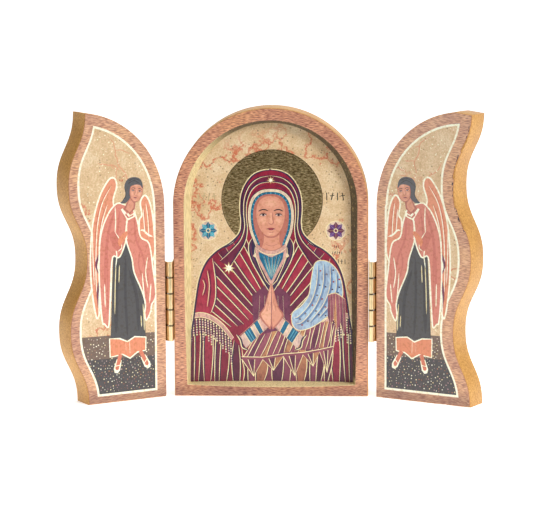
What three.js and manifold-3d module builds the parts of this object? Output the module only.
import * as THREE from 'three';
import { mergeVertices } from 'three/addons/utils/BufferGeometryUtils.js';
import Module from 'manifold-3d';

// A small standing triptych: an arched centre panel with a recessed picture, and two wings with a wavy
// outer edge that close over it on brass butt hinges.
// Lengths are in millimetres and angles in degrees. The front faces -Y and the table is z = 0.
// The origin is the middle of the centre panel's underside.

// Centre panel
const panelHeight = 150;
const panelWidth = 100.5;
const centreThickness = 20;

// Wings
const wingThickness = 14;
const leftFoldDegrees = 32.5;
const rightFoldDegrees = 29;
const closedGap = 0.8;
const waveDepth = 5.2;
const waveCount = 2;
const waveFullness = 0.055;

// Printed facing sheets, laid on the boards
const sheetThickness = 0.4;
const sheetInset = 0.3;
const glueGap = 0.3;

// Picture recess of the centre panel, at the front face
const recessDepth = 6;
const frameSide = 5.7;
const frameCrown = 6.4;
const frameFoot = 5;
const footRise = 1.2;
const sidePinch = 1.1;

// How far the recess's sloping wall runs in from the front edge to the floor
const flareSide = 3.3;
const flareCrown = 1.7;
const flareFoot = 1.9;
const floorSpread = 1.1;
const floorDip = 0.5;

// Butt hinges, five knuckles each
const hingeLength = 41.5;
const hingeMiddle = 50;
const knuckleCount = 5;
const knuckleGap = 0.3;
const leafThickness = 0.6;
const leafDepth = 8;
const leafGap = 0.3;
const pinRadius = 0.7;
const pinClearance = 0.05;
const pinForward = 1.7;
const sweepClearance = 0.3;
const boreOvercut = 1;

// Corners of a mesh closer than this are one corner
const weldDistance = 1e-5;

// Facets
const archSegments = 64;
const sideSegments = 16;
const footSegments = 16;
const waveSegments = 72;
const wingArchSegments = 32;
const roundSegments = 24;

const archRadius = panelWidth / 2;
const springHeight = panelHeight - archRadius;
const centreFront = -centreThickness / 2;
const boreRadius = pinRadius + pinClearance;
const knuckleRadius = boreRadius + leafThickness;
const pinOffset = knuckleRadius + leafGap;
const knuckleLength = (hingeLength - (knuckleCount - 1) * knuckleGap) / knuckleCount;
const frontSetback = glueGap + sheetThickness;

const boardPaint = new THREE.MeshStandardMaterial({ color: 0xc6924e, roughness: 0.6, metalness: 0 });
const printedFace = new THREE.MeshStandardMaterial({ color: 0xb98366, roughness: 0.35, metalness: 0 });
const brass = new THREE.MeshStandardMaterial({ color: 0xc9a24e, roughness: 0.3, metalness: 1 });

const manifold = await Module();
manifold.setup();

function toSolid(geometry) {
  const bare = geometry.index ? geometry.toNonIndexed() : geometry.clone();
  bare.deleteAttribute('normal');
  bare.deleteAttribute('uv');
  const merged = mergeVertices(bare, weldDistance);
  const mesh = new manifold.Mesh({
    numProp: 3,
    vertProperties: new Float32Array(merged.attributes.position.array),
    triVerts: new Uint32Array(merged.index.array),
  });
  return new manifold.Manifold(mesh);
}

function toGeometry(solid) {
  const mesh = solid.getMesh();
  const geometry = new THREE.BufferGeometry();
  geometry.setAttribute('position', new THREE.BufferAttribute(new Float32Array(mesh.vertProperties), 3));
  geometry.setIndex(new THREE.BufferAttribute(new Uint32Array(mesh.triVerts), 1));
  geometry.computeVertexNormals();
  return geometry;
}

// Closes one flat ring with triangles that all turn the way asked for
function capFaces(points, counterClockwise) {
  const contour = points.map(([x, z]) => new THREE.Vector2(x, z));
  return THREE.ShapeUtils.triangulateShape(contour, []).map(([a, b, c]) => {
    const turn = THREE.ShapeUtils.area([contour[a], contour[b], contour[c]]) > 0;
    return turn === counterClockwise ? [a, b, c] : [a, c, b];
  });
}

// A closed body through rings of equally many [x, z] points, from a front cap round to a back cap.
// Each ring lies at one depth y and runs counterclockwise as seen from the front.
function loftRings(rings) {
  const count = rings[0].points.length;
  const positions = rings.flatMap(({ points, y }) => points.flatMap(([x, z]) => [x, y, z]));
  const faces = [...capFaces(rings[0].points, true)];
  for (let ring = 0; ring + 1 < rings.length; ring += 1) {
    for (let i = 0; i < count; i += 1) {
      const next = (i + 1) % count;
      const near = ring * count;
      const far = near + count;
      faces.push([near + next, near + i, far + i]);
      faces.push([near + next, far + i, far + next]);
    }
  }
  const last = (rings.length - 1) * count;
  for (const face of capFaces(rings[rings.length - 1].points, false)) {
    faces.push(face.map((corner) => corner + last));
  }
  const geometry = new THREE.BufferGeometry();
  geometry.setAttribute('position', new THREE.Float32BufferAttribute(positions, 3));
  geometry.setIndex(faces.flat());
  geometry.computeVertexNormals();
  return geometry;
}

// An arched outline, counterclockwise from its left foot. Towards the foot the sides drift outwards by
// sideDrift, and towards its corners the foot rises by footDrift.
function archOutline({ halfWidth, crown, foot, sideDrift = 0, driftPower = 1, footDrift = 0 }) {
  const cornerWidth = halfWidth + sideDrift;
  const cornerHeight = foot + footDrift;
  const archHeight = crown - springHeight;
  const points = [];
  for (let i = 0; i < footSegments; i += 1) {
    const across = (2 * i) / footSegments - 1;
    points.push([across * cornerWidth, foot + footDrift * across ** 2]);
  }
  const side = [];
  for (let i = 0; i < sideSegments; i += 1) {
    const down = 1 - i / sideSegments;
    const height = springHeight - down * (springHeight - cornerHeight);
    side.push([halfWidth + sideDrift * down ** driftPower, height]);
  }
  points.push(...side);
  for (let i = 0; i <= archSegments; i += 1) {
    const angle = (Math.PI * i) / archSegments;
    points.push([halfWidth * Math.cos(angle), springHeight + archHeight * Math.sin(angle)]);
  }
  for (const [x, z] of side.slice(1).reverse()) {
    points.push([-x, z]);
  }
  return points;
}

// The centre panel's outline, drawn in by an even margin
function panelOutline(margin) {
  return archOutline({ halfWidth: panelWidth / 2 - margin, crown: panelHeight - margin, foot: margin });
}

// The recess at the front face, drawn out by an even margin
function recessEdge(margin) {
  return archOutline({
    halfWidth: panelWidth / 2 - frameSide + margin,
    crown: panelHeight - frameCrown + margin,
    foot: frameFoot - margin,
    sideDrift: -sidePinch,
    driftPower: 3,
    footDrift: footRise,
  });
}

// The recess at its floor, drawn out by an even margin
function recessFloor(margin) {
  return archOutline({
    halfWidth: panelWidth / 2 - frameSide - flareSide + margin,
    crown: panelHeight - frameCrown - flareCrown + margin,
    foot: frameFoot + flareFoot - margin,
    sideDrift: floorSpread,
    driftPower: 1.5,
    footDrift: -floorDip,
  });
}

// The arched board, with room in its recess for the sheet and its glue
function centreBoard() {
  const front = centreFront + frontSetback;
  return loftRings([
    { points: recessFloor(frontSetback), y: front + recessDepth },
    { points: recessEdge(frontSetback), y: front },
    { points: panelOutline(0), y: front },
    { points: panelOutline(0), y: centreFront + centreThickness },
  ]);
}

// One printed sheet over the frame, down the recess's wall and across its floor
function centrePrint() {
  const back = centreFront + sheetThickness;
  return loftRings([
    { points: recessFloor(0), y: centreFront + recessDepth },
    { points: recessEdge(0), y: centreFront },
    { points: panelOutline(sheetInset), y: centreFront },
    { points: panelOutline(sheetInset), y: back },
    { points: recessEdge(sheetThickness), y: back },
    { points: recessFloor(sheetThickness), y: back + recessDepth },
  ]);
}

// Distance of a wing's outer edge from its hinge edge. Bulge is 1 where the wave swells out at the foot
// and -1 where it draws in there, so that a wing of each kind meets along one line when closed.
function waveWidth(height, bulge) {
  const middle = (panelWidth - closedGap) / 2;
  const turn = (2 * Math.PI * waveCount * height) / panelHeight;
  return middle + bulge * waveDepth * (Math.cos(turn) - waveFullness * Math.cos(3 * turn));
}

// Where the wave meets the arch, found by stepping between the two
function waveTip(bulge) {
  const steps = 20;
  let height = panelHeight;
  for (let i = 0; i < steps; i += 1) {
    height = springHeight + Math.sqrt(archRadius ** 2 - (archRadius - waveWidth(height, bulge)) ** 2);
  }
  return height;
}

// A wing's outline from its hinge edge, which is x = 0, drawn in by an even margin.
// Side is 1 for the right wing and -1 for the left one.
function wingOutline(side, bulge, margin) {
  const radius = archRadius - margin;
  const tipHeight = waveTip(bulge) - margin;
  const tipWidth = waveWidth(tipHeight, bulge) - margin;
  const tipAngle = Math.acos((archRadius - tipWidth) / radius);
  const points = [];
  for (let i = 0; i < footSegments; i += 1) {
    points.push([margin + ((waveWidth(margin, bulge) - 2 * margin) * i) / footSegments, margin]);
  }
  for (let i = 0; i < waveSegments; i += 1) {
    const height = margin + ((tipHeight - margin) * i) / waveSegments;
    points.push([waveWidth(height, bulge) - margin, height]);
  }
  for (let i = 0; i <= wingArchSegments; i += 1) {
    const angle = tipAngle * (1 - i / wingArchSegments);
    points.push([archRadius - radius * Math.cos(angle), springHeight + radius * Math.sin(angle)]);
  }
  const outline = points.map(([x, z]) => [side * x, z]);
  return side > 0 ? outline : outline.reverse();
}

// A slab of a wing's outline. Depths are measured back from the hinge pin.
function wingSlab(side, bulge, margin, nearDepth, farDepth) {
  const points = wingOutline(side, bulge, margin).map(([x, z]) => [x + side * pinOffset, z]);
  return loftRings([
    { points, y: nearDepth },
    { points, y: farDepth },
  ]);
}

function cylinderUp(radius, low, high) {
  const geometry = new THREE.CylinderGeometry(radius, radius, high - low, roundSegments);
  geometry.rotateX(Math.PI / 2);
  geometry.translate(0, 0, (low + high) / 2);
  return toSolid(geometry);
}

function plate(x0, x1, y0, y1, z0, z1) {
  const geometry = new THREE.BoxGeometry(x1 - x0, y1 - y0, z1 - z0);
  geometry.translate((x0 + x1) / 2, (y0 + y1) / 2, (z0 + z1) / 2);
  return toSolid(geometry);
}

// One leaf around a pin on the Z axis, with every second knuckle from the first one it owns.
// Toward is 1 where the leaf's board lies at +X of the pin and -1 where it lies at -X.
function hingeLeaf(toward, firstKnuckle) {
  const low = hingeMiddle - hingeLength / 2;
  const high = low + hingeLength;
  const outer = toward * knuckleRadius;
  const inner = toward * (knuckleRadius - leafThickness);
  const ends = [Math.min(inner, outer), Math.max(inner, outer)];
  let leaf = plate(...ends, 0, pinForward + leafDepth, low, high);
  for (let i = 0; i < knuckleCount; i += 1) {
    const start = low + i * (knuckleLength + knuckleGap);
    const end = start + knuckleLength;
    if (i % 2 === firstKnuckle) {
      leaf = leaf.add(cylinderUp(knuckleRadius, start, end));
    } else {
      const room = cylinderUp(knuckleRadius + sweepClearance, start - knuckleGap, end + knuckleGap);
      leaf = leaf.subtract(room);
    }
  }
  const bore = cylinderUp(boreRadius, low - boreOvercut, high + boreOvercut);
  return toGeometry(leaf.subtract(bore));
}

function hingePin() {
  const low = hingeMiddle - hingeLength / 2;
  return toGeometry(cylinderUp(pinRadius, low, low + hingeLength));
}

function named(name, geometry, material) {
  const mesh = new THREE.Mesh(geometry, material);
  mesh.name = name;
  return mesh;
}

// A wing with its own hinge leaf, in a group that turns about the hinge pin
function wing(word, side, bulge, fold) {
  const group = new THREE.Group();
  group.position.set(side * (panelWidth / 2 + pinOffset), centreFront - pinForward, 0);
  group.rotation.z = THREE.MathUtils.degToRad(-side * fold);
  const front = pinForward;
  const board = wingSlab(side, bulge, 0, front + frontSetback, front + wingThickness);
  const print = wingSlab(side, bulge, sheetInset, front, front + sheetThickness);
  group.add(named(`${word}_wing_board`, board, boardPaint));
  group.add(named(`${word}_wing_print`, print, printedFace));
  group.add(named(`${word}_hinge_wing_leaf`, hingeLeaf(side, 1), brass));
  return group;
}

// The leaf and pin that stay with the centre panel
function fixedHinge(word, side) {
  const group = new THREE.Group();
  group.position.set(side * (panelWidth / 2 + pinOffset), centreFront - pinForward, 0);
  group.add(named(`${word}_hinge_centre_leaf`, hingeLeaf(-side, 0), brass));
  group.add(named(`${word}_hinge_pin`, hingePin(), brass));
  return group;
}

const triptych = new THREE.Group();
triptych.add(named('centre_board', centreBoard(), boardPaint));
triptych.add(named('centre_print', centrePrint(), printedFace));
triptych.add(fixedHinge('left', -1));
triptych.add(fixedHinge('right', 1));
triptych.add(wing('left', -1, -1, leftFoldDegrees));
triptych.add(wing('right', 1, 1, rightFoldDegrees));

export default triptych;
